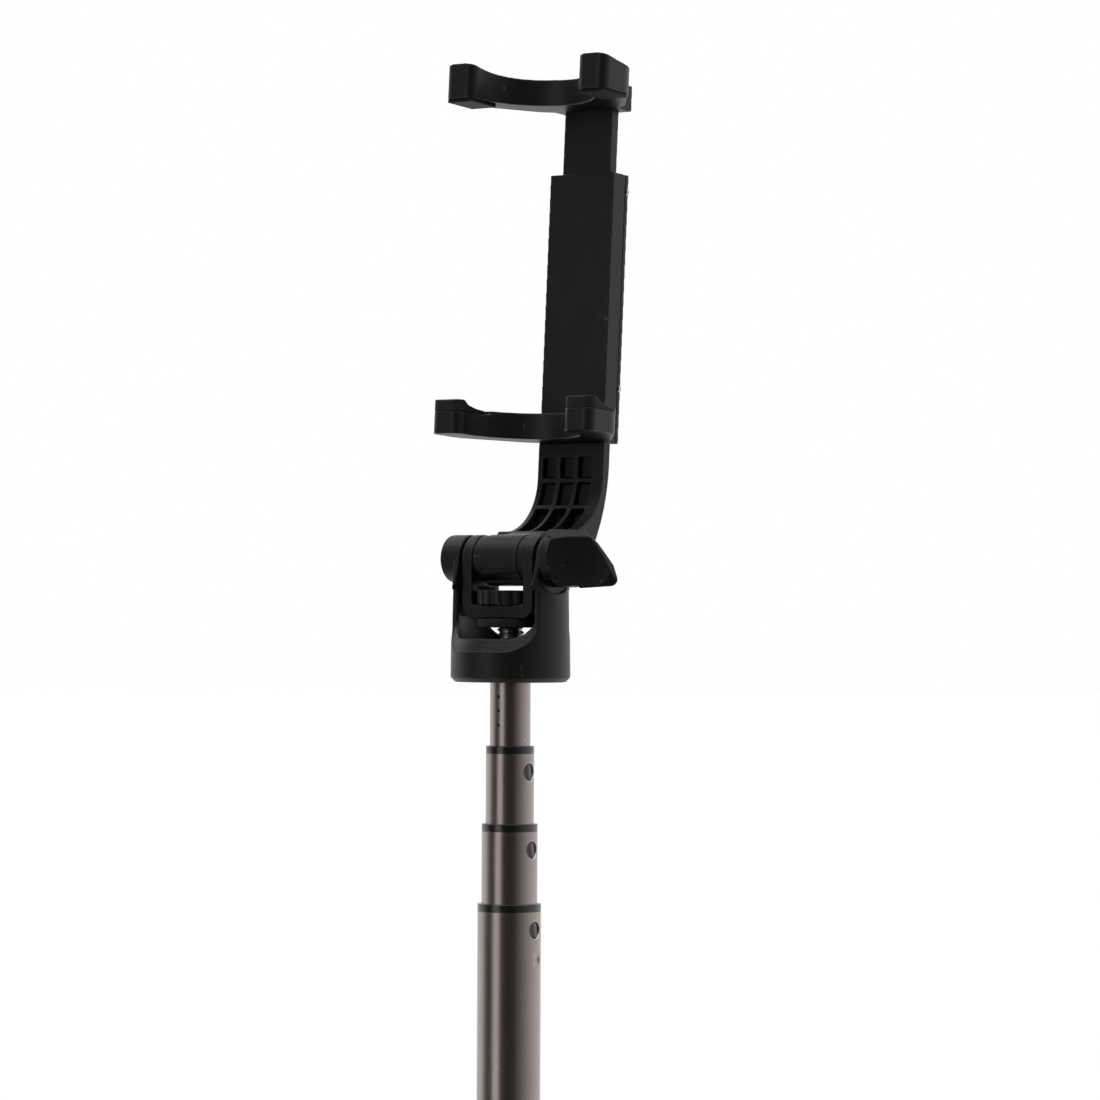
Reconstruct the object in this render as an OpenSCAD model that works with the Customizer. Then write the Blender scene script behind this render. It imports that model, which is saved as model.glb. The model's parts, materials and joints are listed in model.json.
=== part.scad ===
// Telescopic selfie stick: a phone clamp on a folding arm, a fork head with a flip-out
// camera screw, four sliding tubes and a handle whose three legs open into a tripod.
// The origin is the seat of the camera screw, on the stick's axis. +Z is up, -Y is the front.

/* [Hinge] */
// Radius of the hinge barrel
barrel_r = 5.5; // [5:0.1:6]
// Radius of the steel hinge pin
pin_r = 2; // [1.5:0.1:2.5]
// Width of the arm's knuckle
knuckle_w = 10.3; // [8:0.1:11]
// Thickness of each friction washer
washer_t = 1.9; // [1:0.1:2.2]
// Thickness of each ear of the camera yoke
yoke_ear_t = 2.8; // [2:0.1:3.2]
// Thickness of the fork's right ear
ear_t = 2; // [1.5:0.1:2.4]
// Length of the fork's left boss
boss_len = 6.2; // [5:0.1:9]
// Backward lean of the phone arm at rest, in degrees
head_tilt = 3.6; // [0:0.1:10]

/* [Fork cup] */
// Radius of the cup at its upper rim
cup_top_r = 13.5; // [13.2:0.1:15]
// Radius of the cup at its base
cup_base_r = 13.75; // [13.4:0.05:15]
// Inner radius of the cup
cup_inner_r = 12; // [11.9:0.1:12.6]
// Height of the hinge axis above the cup's base
cup_h = 28.3; // [27:0.1:34]
// Half the width of the front and rear cut-outs
cutout_half_w = 10.75; // [10.4:0.05:11]
// Thickness of the cup's floor
cup_floor_t = 4.3; // [4:0.1:6]

/* [Camera yoke] */
// Thickness of the yoke's crossbar
bar_t = 3.2; // [2.5:0.1:4]
// Radius of the thumbwheel
wheel_r = 7.7; // [7.2:0.1:8]
// Height of the thumbwheel
wheel_h = 3.2; // [2.5:0.1:3.4]
// Number of scallops round the thumbwheel
wheel_scallops = 18; // [12:1:24]
// Thickness of the rubber pad
pad_t = 2; // [1:0.1:2.4]
// Radius of the 1/4 inch camera screw
screw_r = 3.175; // [3:0.005:3.3]
// Length of the camera screw beyond the pad
screw_len = 5; // [4:0.1:5.4]

/* [Phone arm and clamp] */
// Width of the arm
arm_w = 18.5; // [14:0.1:20]
// Radius of the arm's hollow front curve
arm_front_r = 13.7; // [12:0.1:15]
// Width across both hooks of a jaw
jaw_w = 45; // [42:0.5:60]
// Radius of the hollow that lets a folded jaw wrap the handle
jaw_hollow_r = 14.6; // [14.5:0.1:16]
// Height of the lower jaw's underside above the hinge
jaw_base_z = 28.9; // [28.6:0.1:34]
// Height of a phone held in the clamp at rest
phone_h = 71.4; // [62:0.1:76]
// Depth of the slot between a hook's lip and the jaw's back
phone_slot = 7.8; // [7:0.1:12]
// How far the clamp closes from rest
jaw_close = 12; // [4:1:14]
// How far the clamp opens from rest
jaw_open = 16; // [4:1:18]

/* [Stick] */
// Outer radius of the thinnest tube
tube_r = 4.675; // [4.5:0.005:5.2]
// Step in radius from one tube to the next
tube_step = 0.88; // [0.84:0.005:1]
// Wall of each tube
tube_wall = 0.42; // [0.38:0.01:0.45]
// Length of the thinnest tube showing at rest
show_1 = 14.5; // [8:0.1:80]
// Length of the second tube showing at rest
show_2 = 17.8; // [10:0.1:80]
// Length of the third tube showing at rest
show_3 = 18.3; // [10:0.1:80]
// Length of the fourth tube showing at rest
show_4 = 50; // [20:0.5:65]
// Height of the black flange on each collar
flange_h = 1.85; // [1.5:0.05:3]
// Radius of the locking hole near the top of each tube
lug_r = 2.05; // [1.5:0.05:2.5]
// Distance of the locking hole below the top of its collar
lug_drop = 6; // [5:0.1:8]

/* [Handle] */
// Radius of the handle
hub_r = 13.9; // [13.6:0.05:14.2]
// Length of the handle's hub
hub_len = 90; // [80:1:110]
// Length of the fixed tube below the hub
core_tail = 50; // [30:1:52]
// Length of a leg below its pivot, without its foot
leg_len = 90; // [80:1:110]
// Length of a rubber foot
foot_len = 6; // [5:0.1:9]
// Angle that a leg opens, in degrees
leg_open = 45; // [35:1:50]
// Radius of a leg's pivot pin
leg_pin_r = 1.2; // [1:0.05:1.5]
// Distance of a leg's pivot from the stick's axis
pivot_r = 11.1; // [11:0.05:11.3]

/* [Remote] */
// Width of the shutter remote
remote_w = 17; // [15:0.1:17.6]
// Length of the shutter remote
remote_len = 44; // [38:0.5:48]
// Radius of the shutter button
button_r = 4.5; // [3:0.1:5.5]
// Travel of the shutter button
button_travel = 0.3; // [0.2:0.05:0.4]

/* [Hidden] */
$fn = 96;
run_gap = 0.05;
side_gap = 0.1;
free_gap = 0.3;
over = 1;
far = 60;

// hinge stack, measured outward from the stick's axis
knuckle_x = knuckle_w / 2;
washer_x = knuckle_x + washer_t;
yoke_x = washer_x + side_gap + yoke_ear_t;
ear_x = yoke_x + side_gap;
ear_end = ear_x + ear_t;
boss_end = ear_x + boss_len;
lever_x = ear_end + 2 * side_gap;
pin_bite = 2.6;
nut_r = 4;
nut_h = 3;
cap_h = 1.2;
cap_dimple_r = 2.2;
lever_hub_r = 6.6;
lever_hub_t = 6;

// yoke heights, measured down from the hinge
wheel_top = barrel_r + 1.8;
bar_top = wheel_top + wheel_h + side_gap;
bar_bottom = bar_top + bar_t;
seat_drop = bar_bottom + pad_t;
hinge_z = seat_drop;
window_x = washer_x + side_gap;
yoke_corner = 3.4;
pad_r = 8;
wheel_gap = 0.35;
pocket_gap = 1.2;
wheel_dish = 1.4;
scallop_r = 0.85;
screw_neck_r = 2.6;
screw_disc_r = 5;
coin_slot = 1.2;

// cup
cup_floor_z = cup_floor_t - cup_h;
cup_chamfer = 1.1;
cup_rim_drop = 5.9;
ear_foot_w = 14.4;
ear_foot_drop = 13;
cutout_drop = 18.3;
scoop_w = 1.35;
scoop_slant = 2.2;
scoop_steps = 5;
scoop_top_drop = 7.2;
cutout_corner = 4.5;
tube_socket = 2.9;
swivel_r = 1.5;
swivel_grip = 9;
swivel_washer_t = 0.5;
swivel_head_t = 1.8;
plug_len = 12;

// tubes, counted from the thinnest
function tube_out(i) = tube_r + i * tube_step;
function tube_in(i) = tube_out(i) - tube_wall;
shows = [show_1, show_2, show_3, show_4];
function shown_to(i) = i < 0 ? 0 : shows[i] + shown_to(i - 1);
function collar_top(i) = hinge_z - cup_h - shown_to(i - 1);
hub_top = collar_top(4);
hub_bottom = hub_top - hub_len;
core_bottom = hub_bottom - core_tail;
tail_gap = 3;
function tube_top(i) = i == 0 ? collar_top(0) + tube_socket : collar_top(i) - flange_h;
function tube_bottom(i) = core_bottom + tail_gap + (shown_to(3) - shown_to(i - 1));
sleeve_len = 10;
glide_len = 8;

// handle and legs
hub_cap_h = 3;
pivot_z = hub_bottom + 4;
slot_w = 6.8;
tab_gap = 0.405;
tab_r = pivot_r - tube_out(4) - tab_gap;
leg_top_z = pivot_z - 5.3;
leg_gap = 0.5;
leg_in_r = tube_out(4) + 0.5;
leg_end_z = pivot_z - leg_len;
leg_pin_half = 7.4;
leg_angles = [-90, 30, 150];

// clamp, in the arm's own upright frame
phone_gap = 0.8;
lip_t = 2.5;
jaw_front_y = -3;
slot_back_y = jaw_front_y + lip_t + phone_slot;
lower_seat_z = jaw_base_z + 5.3;
lip_top_z = lower_seat_z + 2.7;
phone_low_z = lower_seat_z + phone_gap;
phone_high_z = phone_low_z + phone_h;
upper_seat_z = phone_high_z + phone_gap;
upper_bar_z = upper_seat_z + 6.1;
upper_tip_z = upper_seat_z + 8.1;
spine_y = jaw_hollow_r + 7.4;
spine_w = 18;
rail_w = 13.4;
rail_front_y = spine_y + 1.6;
rail_back_y = rail_front_y + 3;
spine_back_y = rail_back_y + 0.4;
cover_t = 1.4;
cover_y = spine_back_y + cover_t;
housing_top_z = upper_seat_z - jaw_close - 3;
rail_hold = 20.8;
rail_low_z = housing_top_z - jaw_open - rail_hold;
spring_r = 1.5;
post_r = 1;
post_low_z = jaw_base_z + 12;
post_high_z = housing_top_z - 8;
tongue_w = 12;
tongue_h = 9;
tongue_gap = 0.2;
top_skin = 1.2;

// small screws: shank, head and how deep the head sinks
screw_shank_r = 0.8;
screw_head_r = 1.5;
screw_head_t = 0.8;
arm_screw_x = 3.5;
arm_screw_z = jaw_base_z + 5;
jaw_screw_x = 4;
jaw_screw_z = upper_seat_z + 2.6;
cover_shank_r = 0.7;
cover_head_r = 1.2;
cover_screw_x = 8;
cover_screw_z = [jaw_base_z + 13, housing_top_z - 4];

// arm profile
skirt_r = 6.3;
groove_r = 0.25;
groove_drop = 2.9;
arm_c = [8.3, 20.6];
arm_back_c = [-15.9, 24];
arm_back_r = 40.8;
pocket_pitch = 5;
pocket_rib = 1.1;
pocket_shift = -0.75;
pocket_skin = 1.1;

// remote dock in the front of the hub
dock_top_z = hub_top - 12;
dock_y = -8.9;
remote_back_t = 0.8;
shell_t = 0.8;
board_t = 0.6;
cell_t = 1.6;
cell_r = 6.2;
inside_y = dock_y - side_gap - remote_back_t;
cell_z = dock_top_z - remote_len + shell_t + cell_r + 0.6;
button_z = dock_top_z - 13;
board_y = inside_y - board_t;
dome_y = board_y - 0.3;

plastic = [0.09, 0.09, 0.1];
rubber = [0.05, 0.05, 0.055];
metal = [0.4, 0.35, 0.32];
steel = [0.7, 0.7, 0.72];
grey = [0.3, 0.3, 0.31];

// ---------------------------------------------------------------- frames and shared shapes

module at_hinge() { translate([0, 0, hinge_z]) children(); }

module at_arm() { at_hinge() rotate([-head_tilt, 0, 0]) children(); }

module rod_x(r, x0, x1) { translate([x0, 0, 0]) rotate([0, 90, 0]) cylinder(r = r, h = x1 - x0); }

module rod_y(r, y0, y1) { translate([0, y0, 0]) rotate([-90, 0, 0]) cylinder(r = r, h = y1 - y0); }

module box(x, y, z) {
    translate([x[0], y[0], z[0]]) cube([x[1] - x[0], y[1] - y[0], z[1] - z[0]]);
}

// a side profile drawn in (Y, Z) and given a width along X
module side_plate(x0, x1) {
    translate([x0, 0, 0]) rotate([90, 0, 90]) linear_extrude(x1 - x0) children();
}

// a front profile drawn in (X, Z) and given a depth along Y
module front_plate(y0, y1) {
    translate([0, y1, 0]) rotate([90, 0, 0]) linear_extrude(y1 - y0) children();
}

module both_sides() {
    children();
    mirror([1, 0, 0]) children();
}

module ring(r_out, r_in, z0, z1) {
    translate([0, 0, z0]) difference() {
        cylinder(r = r_out, h = z1 - z0);
        translate([0, 0, -over]) cylinder(r = r_in, h = z1 - z0 + 2 * over);
    }
}

function arc_points(c, r, a0, a1, steps) =
    [for (i = [0:steps]) c + r * [cos(a0 + (a1 - a0) * i / steps), sin(a0 + (a1 - a0) * i / steps)]];

// ---------------------------------------------------------------- fork cup

module cutout_outline(grow) {
    half = cutout_half_w + grow;
    corner = cutout_corner + grow;
    low = -cutout_drop - grow * scoop_slant;
    translate([-half, low + corner]) square([2 * half, far]);
    translate([-half + corner, low]) square([2 * (half - corner), corner + over]);
    for (side = [-1, 1]) translate([side * (half - corner), low + corner]) circle(r = corner);
}

module cup_body() {
    difference() {
        rotate_extrude() polygon([
            [0, -cup_h],
            [cup_base_r - cup_chamfer, -cup_h],
            [cup_base_r, cup_chamfer - cup_h],
            [cup_top_r, -cup_rim_drop],
            [0, -cup_rim_drop]
        ]);
        translate([0, 0, cup_floor_z]) cylinder(r = cup_inner_r, h = far);
    }
}

// the scooped edge round the front and rear cut-outs: fine steps that widen towards the outside
module cutout_scoop() {
    wall = cup_top_r - cup_inner_r;
    for (k = [1:scoop_steps]) intersection() {
        front_plate(-far, far) cutout_outline(scoop_w * k / scoop_steps);
        ring(far, cup_inner_r + wall * k / (scoop_steps + 0.5), -far, -scoop_top_drop);
    }
}

module ear_profile() {
    circle(r = barrel_r);
    foot = ear_foot_w / 2;
    polygon([
        [-barrel_r, 0], [barrel_r, 0], [foot, -cup_rim_drop],
        [foot, -ear_foot_drop], [-foot, -ear_foot_drop], [-foot, -cup_rim_drop]
    ]);
}

// the hexagonal pocket in the boss's end, as deep as h
module nut_pocket(h) {
    translate([-boss_end + nut_h + cap_h, 0, 0]) rotate([0, -90, 0]) cylinder(r = nut_r, h = h, $fn = 6);
}

module cup() {
    color(plastic) at_hinge() difference() {
        union() {
            cup_body();
            intersection() {
                both_sides() side_plate(ear_x, ear_end) ear_profile();
                union() {
                    translate([0, 0, -far]) cylinder(r = cup_top_r, h = far);
                    rod_x(barrel_r, -ear_end - over, ear_end + over);
                }
            }
            rod_x(barrel_r, -boss_end, -ear_x);
        }
        front_plate(-far, far) cutout_outline(0);
        cutout_scoop();
        rod_x(lever_hub_r + 1.5, ear_end + side_gap / 2, far);
        rod_x(pin_r + run_gap, -far, far);
        nut_pocket(far);
        translate([0, 0, -cup_h - over]) cylinder(r = tube_out(0) + run_gap, h = tube_socket + over);
        translate([0, 0, -cup_h]) cylinder(r = swivel_r + run_gap, h = far);
    }
}

module hinge_nut() {
    color(steel) at_hinge() difference() {
        nut_pocket(nut_h);
        rod_x(pin_r + run_gap, -far, far);
    }
}

module boss_cap() {
    color(plastic) at_hinge() difference() {
        translate([-nut_h, 0, 0]) nut_pocket(cap_h);
        rod_x(cap_dimple_r, -boss_end - over, -boss_end + free_gap);
    }
}

module hinge_pin() {
    color(steel) at_hinge() rod_x(pin_r, -boss_end + cap_h + side_gap, lever_x + pin_bite);
}

module friction_washers() {
    color(plastic) at_hinge() both_sides() difference() {
        rod_x(barrel_r - 2 * side_gap, knuckle_x + side_gap, washer_x);
        rod_x(pin_r + run_gap, 0, far);
    }
}

// ---------------------------------------------------------------- clamp lever

// the wing is a plate that covers the hub's outer end and runs out to the right and back
wing_t = 3.4;
wing_turn = 35;
wing_x = cup_base_r + 2 * side_gap;
hub_edge = 2.3;
wing_y = -lever_hub_r - hub_edge * tan(wing_turn);
wing_eye_x = 6.5;
wing_root = [2.3, 6.6];
wing_peak = [10.8, 6.5];
wing_apex = [11.5, 6.5];
wing_tip = [19, -4.6];
top_bevel = [2.4, 1.6];
slant_bevel = [0.4, 0.4];
bevel_lead = 1.5;
hollow_r = 30;
hollow_c = [10, 1 - hollow_r, -0.6];

module wing_outline() {
    polygon(concat(
        [for (a = [-90:15:45]) [wing_eye_x - lever_hub_r * sin(wing_turn) * cos(a), lever_hub_r * sin(a)]],
        [wing_root - [0.8, 1.4], wing_root],
        arc_points([10.8, 5.3], 1.2, 95, 45, 4),
        [[14.5, 3.5], [16.8, 0.3], [18.1, -1.6]],
        arc_points([17.4, -4.7], 1.6, 5, -80, 5),
        [[10.4, -6.8], [10, -6.2], [7.6, -6.4]]
    ));
}

module at_wing() { translate([lever_x, wing_y, 0]) rotate([0, 0, wing_turn]) children(); }

// a flat cut along the plate's front edge from a towards b, as wide and as deep as the bevel says
module rim_bevel(a, b, bevel) {
    run = b - a;
    lean = atan2(bevel[1], bevel[0]);
    translate([a[0], 0, a[1]]) rotate([0, -atan2(run[1], run[0]), 0])
        translate([0, 0, -bevel[0]]) rotate([-lean, 0, 0]) box([-bevel_lead, far], [-far, 0], [-far, far]);
}

module lever_wing() {
    color(plastic) at_hinge() difference() {
        union() {
            intersection() {
                rod_x(lever_hub_r, lever_x, lever_x + lever_hub_t);
                at_wing() box([-far, far], [0, far], [-far, far]);
            }
            intersection() {
                at_wing() front_plate(0, wing_t) wing_outline();
                box([wing_x, far], [-far, far], [-far, far]);
            }
        }
        rod_x(pin_r, -far, lever_x + pin_bite);
        at_wing() translate(hollow_c) sphere(r = hollow_r);
        at_wing() rim_bevel(wing_root, wing_peak, top_bevel);
        at_wing() rim_bevel(wing_apex, wing_tip, slant_bevel);
    }
}

// ---------------------------------------------------------------- camera yoke

module yoke_outline() {
    straight_x = yoke_x - yoke_corner;
    difference() {
        union() {
            translate([-yoke_x, -bar_bottom + yoke_corner]) square([2 * yoke_x, bar_bottom - yoke_corner]);
            translate([-straight_x, -bar_bottom]) square([2 * straight_x, yoke_corner + over]);
            for (side = [-1, 1])
                translate([side * straight_x, -bar_bottom + yoke_corner]) circle(r = yoke_corner);
        }
        translate([-window_x, -bar_top]) square([2 * window_x, far]);
    }
}

module yoke() {
    color(plastic) at_hinge() difference() {
        union() {
            front_plate(-barrel_r, barrel_r) yoke_outline();
            both_sides() rod_x(barrel_r, window_x, yoke_x);
        }
        rod_x(pin_r + run_gap, -far, far);
        translate([0, 0, -bar_top]) cylinder(r = wheel_r + wheel_gap, h = bar_top - barrel_r - pocket_gap);
        translate([0, 0, -far]) cylinder(r = screw_r + run_gap, h = far);
    }
}

module yoke_pad() {
    color(rubber) at_hinge() ring(pad_r, screw_r + side_gap, -seat_drop, -bar_bottom);
}

module thumbwheel() {
    color(plastic) at_hinge() translate([0, 0, -wheel_top - wheel_h]) difference() {
        cylinder(r = wheel_r, h = wheel_h);
        for (i = [0:wheel_scallops - 1])
            rotate([0, 0, (i + 0.5) * 360 / wheel_scallops]) translate([wheel_r + wheel_gap, 0, -over])
                cylinder(r = scallop_r, h = wheel_h + 2 * over, $fn = 24);
        translate([0, 0, -over]) cylinder(r = screw_neck_r, h = far);
        translate([0, 0, wheel_h - wheel_dish]) cylinder(r = screw_disc_r, h = far);
    }
}

module camera_screw() {
    color(steel) at_hinge() difference() {
        union() {
            translate([0, 0, -seat_drop - screw_len]) cylinder(r = screw_r, h = screw_len);
            translate([0, 0, -seat_drop]) cylinder(r = screw_neck_r, h = seat_drop - wheel_top - wheel_dish);
            translate([0, 0, -wheel_top - wheel_dish]) cylinder(r = screw_disc_r, h = wheel_dish - side_gap);
        }
        box([-far, far], [-coin_slot / 2, coin_slot / 2], [-wheel_top - wheel_dish / 2, 0]);
    }
}

// ---------------------------------------------------------------- phone arm

module arm_solid_profile() {
    polygon(concat(
        arc_points(arm_c, arm_front_r, -90, 0, 24),
        [[spine_y, jaw_base_z], [arm_back_c[0] + arm_back_r, jaw_base_z]],
        arc_points(arm_back_c, arm_back_r, 0, -33, 16),
        arc_points([13.6, 1.4], 4.6, -40, -100, 6),
        [[8.9, -4], [6.7, 0], [6.5, 5.9], [7.2, 6.9]]
    ));
}

// the knuckle has a thin groove across its front and a deeper skirt below
module arm_neck_profile() {
    difference() {
        union() {
            circle(r = barrel_r);
            polygon([[0, -barrel_r], [9, -3.9], [12, -3], [12, 7], [8.3, 6.9], [4.2, 5.9], [0, barrel_r]]);
            intersection() {
                circle(r = skirt_r);
                polygon([[0, 0], [-3.4, -8], [7, -8], [9, -3.9]]);
            }
        }
        translate([-sqrt(pow(barrel_r, 2) - pow(groove_drop, 2)), -groove_drop]) circle(r = groove_r);
    }
}

// a wedge of the hollow front curve between two angles
module pocket_wedge(a0, a1) {
    difference() {
        intersection() {
            translate(arm_back_c) circle(r = arm_back_r - pocket_skin);
            polygon(concat([arm_c], arc_points(arm_c, far / 2, a0, a1, 4)));
        }
        translate(arm_c) circle(r = arm_front_r - over / 2);
    }
}

module pocket_rows() {
    pocket_wedge(-76, -33);
    pocket_wedge(-28, -5);
    pocket_wedge(0, 19);
}

module arm() {
    color(plastic) at_arm() difference() {
        union() {
            side_plate(-arm_w / 2, arm_w / 2) arm_solid_profile();
            side_plate(-knuckle_x, knuckle_x) arm_neck_profile();
            box([-tongue_w / 2, tongue_w / 2], [rail_front_y, rail_back_y], [jaw_base_z - over, jaw_base_z + tongue_h]);
        }
        rod_x(pin_r + run_gap, -far, far);
        for (column = [-1, 0, 1])
            translate([pocket_shift + column * pocket_pitch, 0, 0])
                side_plate(-(pocket_pitch - pocket_rib) / 2, (pocket_pitch - pocket_rib) / 2) pocket_rows();
        arm_screw_places() rod_y(screw_shank_r, 0, far);
    }
}

module arm_screw_places() {
    for (side = [-1, 1]) translate([side * arm_screw_x, 0, arm_screw_z]) children();
}

// a screw driven in from the clamp's back face
module back_screw(shank_r, head_r, y_tip) {
    rod_y(shank_r, y_tip, cover_y);
    rod_y(head_r, cover_y - screw_head_t, cover_y);
}

module arm_screws() {
    color(steel) at_arm() arm_screw_places() back_screw(screw_shank_r, screw_head_r, rail_front_y);
}

// ---------------------------------------------------------------- clamp

// the jaw from above: two round-cornered hooks that close in to the spine behind the handle's hollow
module jaw_plan() {
    half = jaw_w / 2;
    tip_r = 2.2;
    side_r = 6;
    side_sweep = 42;
    neck = [3.4, 1.4];
    tip_y = jaw_front_y + tip_r;
    side_y = slot_back_y - 2;
    outline = concat(
        arc_points([jaw_hollow_r + tip_r, tip_y], tip_r, 180, 270, 6),
        arc_points([half - tip_r, tip_y], tip_r, 270, 360, 6),
        arc_points([half - side_r, side_y], side_r, 0, side_sweep, 5),
        [[spine_w / 2 + neck[0], spine_y - neck[1]], [spine_w / 2, spine_y + over]],
        [[0, spine_y + over], [0, tip_y]]
    );
    difference() {
        union() {
            polygon(outline);
            mirror([1, 0]) polygon(outline);
        }
        circle(r = jaw_hollow_r);
        translate([-jaw_hollow_r, -far]) square([2 * jaw_hollow_r, far]);
    }
}

module jaw_slab(z0, z1) { translate([0, 0, z0]) linear_extrude(z1 - z0) jaw_plan(); }

// keeps only the hooks' part of a jaw, cut to a side profile
module hook_part(z0, z1) {
    intersection() {
        jaw_slab(z0, z1);
        both_sides() side_plate(jaw_hollow_r - over, jaw_w / 2 + over) children();
    }
}

module rail_channel(z0, z1) {
    box([-rail_w / 2 - free_gap, rail_w / 2 + free_gap], [rail_front_y - free_gap / 2, far], [z0, z1]);
}

module spring_post() { rod_y(post_r, spine_y + over / 2, rail_back_y); }

module cover_screw_places() {
    for (side = [-1, 1], z = cover_screw_z) translate([side * cover_screw_x, 0, z]) children();
}

module clamp_base() {
    color(plastic) at_arm() difference() {
        union() {
            jaw_slab(jaw_base_z, lower_seat_z);
            intersection() {
                jaw_slab(jaw_base_z, lower_seat_z + phone_gap);
                box([-far, far], [slot_back_y, far], [0, far]);
            }
            box([-spine_w / 2, spine_w / 2], [spine_y, spine_back_y], [jaw_base_z, housing_top_z]);
        }
        rail_channel(jaw_base_z + tongue_h + tongue_gap, far * 2);
        box([-tongue_w / 2 - side_gap, tongue_w / 2 + side_gap], [rail_front_y, far],
            [0, jaw_base_z + tongue_h + 2 * tongue_gap]);
        translate([0, 0, post_low_z]) spring_post();
        cover_screw_places() rod_y(cover_shank_r, spine_y + over, far);
    }
    color(plastic) at_arm() translate([0, 0, post_low_z]) spring_post();
}

module screw_hole(shank_r, head_r) {
    rod_y(shank_r, rail_front_y, far);
    rod_y(head_r, cover_y - screw_head_t, far);
}

module housing_cover() {
    color(plastic) at_arm() difference() {
        box([-spine_w / 2, spine_w / 2], [spine_back_y, cover_y], [jaw_base_z, housing_top_z]);
        cover_screw_places() screw_hole(cover_shank_r, cover_head_r);
        arm_screw_places() screw_hole(screw_shank_r, screw_head_r);
    }
}

module cover_screws() {
    color(steel) at_arm() cover_screw_places() back_screw(cover_shank_r, cover_head_r, spine_y + over);
}

// soft pads on the hooks: a raised lip in front, then a curved seat that falls away to the back
module lower_pads() {
    lip_y = jaw_front_y + lip_t;
    color(rubber) at_arm() hook_part(lower_seat_z, lip_top_z) polygon([
        [jaw_front_y, lower_seat_z],
        [jaw_front_y, lip_top_z - 0.3],
        [jaw_front_y + 0.5, lip_top_z],
        [lip_y, lip_top_z],
        [lip_y + 1.4, lower_seat_z + 1.7],
        [lip_y + 4, lower_seat_z + 1],
        [slot_back_y, lower_seat_z + 0.5],
        [slot_back_y, lower_seat_z]
    ]);
}

module slider() {
    fork_w = 4.2;
    color(plastic) at_arm() difference() {
        box([-rail_w / 2, rail_w / 2], [rail_front_y, rail_back_y], [rail_low_z, upper_bar_z - top_skin]);
        box([-fork_w / 2, fork_w / 2], [0, far], [0, post_high_z - top_skin]);
        translate([0, 0, post_high_z]) rod_y(post_r, 0, far);
        jaw_screw_places() rod_y(screw_shank_r, 0, far);
    }
    color(steel) at_arm() translate([0, 0, post_high_z]) rod_y(post_r, rail_front_y, rail_back_y);
}

module jaw_screw_places() {
    for (side = [-1, 1]) translate([side * jaw_screw_x, 0, jaw_screw_z]) children();
}

module upper_jaw() {
    color(plastic) at_arm() difference() {
        union() {
            intersection() {
                jaw_slab(upper_seat_z, upper_tip_z);
                side_plate(-jaw_w / 2, jaw_w / 2) jaw_top_profile();
            }
            box([-spine_w / 2, spine_w / 2], [spine_y - over, cover_y], [upper_seat_z, upper_bar_z]);
        }
        box([-rail_w / 2, rail_w / 2], [rail_front_y, rail_back_y], [0, upper_bar_z - top_skin]);
        jaw_screw_places() screw_hole(screw_shank_r, screw_head_r);
    }
}

// the upper jaw is tallest at its two ends and falls in a hollow curve towards the back
module jaw_top_profile() {
    steps = 8;
    reach = jaw_hollow_r - jaw_front_y;
    polygon(concat(
        [[jaw_front_y, upper_seat_z]],
        [for (i = [0:steps]) [
            jaw_front_y + reach * i / steps,
            upper_bar_z + (upper_tip_z - upper_bar_z) * pow(1 - i / steps, 2)
        ]],
        [[far, upper_bar_z], [far, upper_seat_z]]
    ));
}

module jaw_screws() {
    color(steel) at_arm() jaw_screw_places() back_screw(screw_shank_r, screw_head_r, rail_front_y);
}

module upper_pads() {
    color(rubber) at_arm() both_sides() intersection() {
        translate([0, 0, phone_high_z]) linear_extrude(phone_gap) jaw_plan();
        box([jaw_hollow_r + 0.4, jaw_w / 2 - 0.5], [jaw_front_y + 0.8, slot_back_y], [0, far * 3]);
    }
}

module clamp_spring() {
    mid_y = (rail_front_y + rail_back_y) / 2;
    color(steel) at_arm() translate([0, mid_y, 0])
        ring(spring_r, spring_r - 0.5, post_low_z + post_r + 0.1, post_high_z - 1.3);
}

// ---------------------------------------------------------------- swivel joint and tubes

module top_plug() {
    color(grey) difference() {
        translate([0, 0, tube_top(0) - plug_len]) cylinder(r = tube_in(0), h = plug_len);
        translate([0, 0, tube_top(0) - swivel_grip]) cylinder(r = swivel_r, h = far);
    }
}

module swivel_washer() {
    color(steel) at_hinge() ring(3.6, swivel_r + run_gap, cup_floor_z + run_gap, cup_floor_z + swivel_washer_t);
}

module swivel_screw() {
    color(steel) union() {
        translate([0, 0, tube_top(0) - swivel_grip])
            cylinder(r = swivel_r, h = swivel_grip + cup_floor_t - tube_socket + swivel_washer_t);
        translate([0, 0, hinge_z + cup_floor_z + swivel_washer_t]) cylinder(r = 3, h = swivel_head_t);
    }
}

module tube(i) {
    color(metal) difference() {
        ring(tube_out(i), tube_in(i), tube_bottom(i), tube_top(i));
        if (i > 0 && i < 4)
            translate([0, 0, collar_top(i) - lug_drop]) rod_x(lug_r, 0, far);
    }
}

module tube_5() {
    color(metal) ring(tube_out(4), tube_in(4), core_bottom, hub_top - flange_h);
}

// a black flange on the tube's end, a sleeve inside it and a lug that locks in the hole
module collar(i) {
    color(plastic) union() {
        ring(tube_out(i), tube_out(i - 1) + run_gap, collar_top(i) - flange_h, collar_top(i) - side_gap);
        ring(tube_in(i), tube_out(i - 1) + run_gap, collar_top(i) - sleeve_len, collar_top(i) - flange_h);
    }
    color(grey) intersection() {
        translate([0, 0, collar_top(i) - lug_drop]) rod_x(lug_r, 0, far);
        ring(tube_out(i) - 0.15, tube_in(i) - 0.1, collar_top(i) - sleeve_len, collar_top(i) - flange_h);
    }
}

// a thin friction sleeve round the lower end of a sliding tube
module glide(i) {
    color(grey) ring(tube_in(i + 1) - run_gap, tube_out(i), tube_bottom(i), tube_bottom(i) + glide_len);
}

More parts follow.
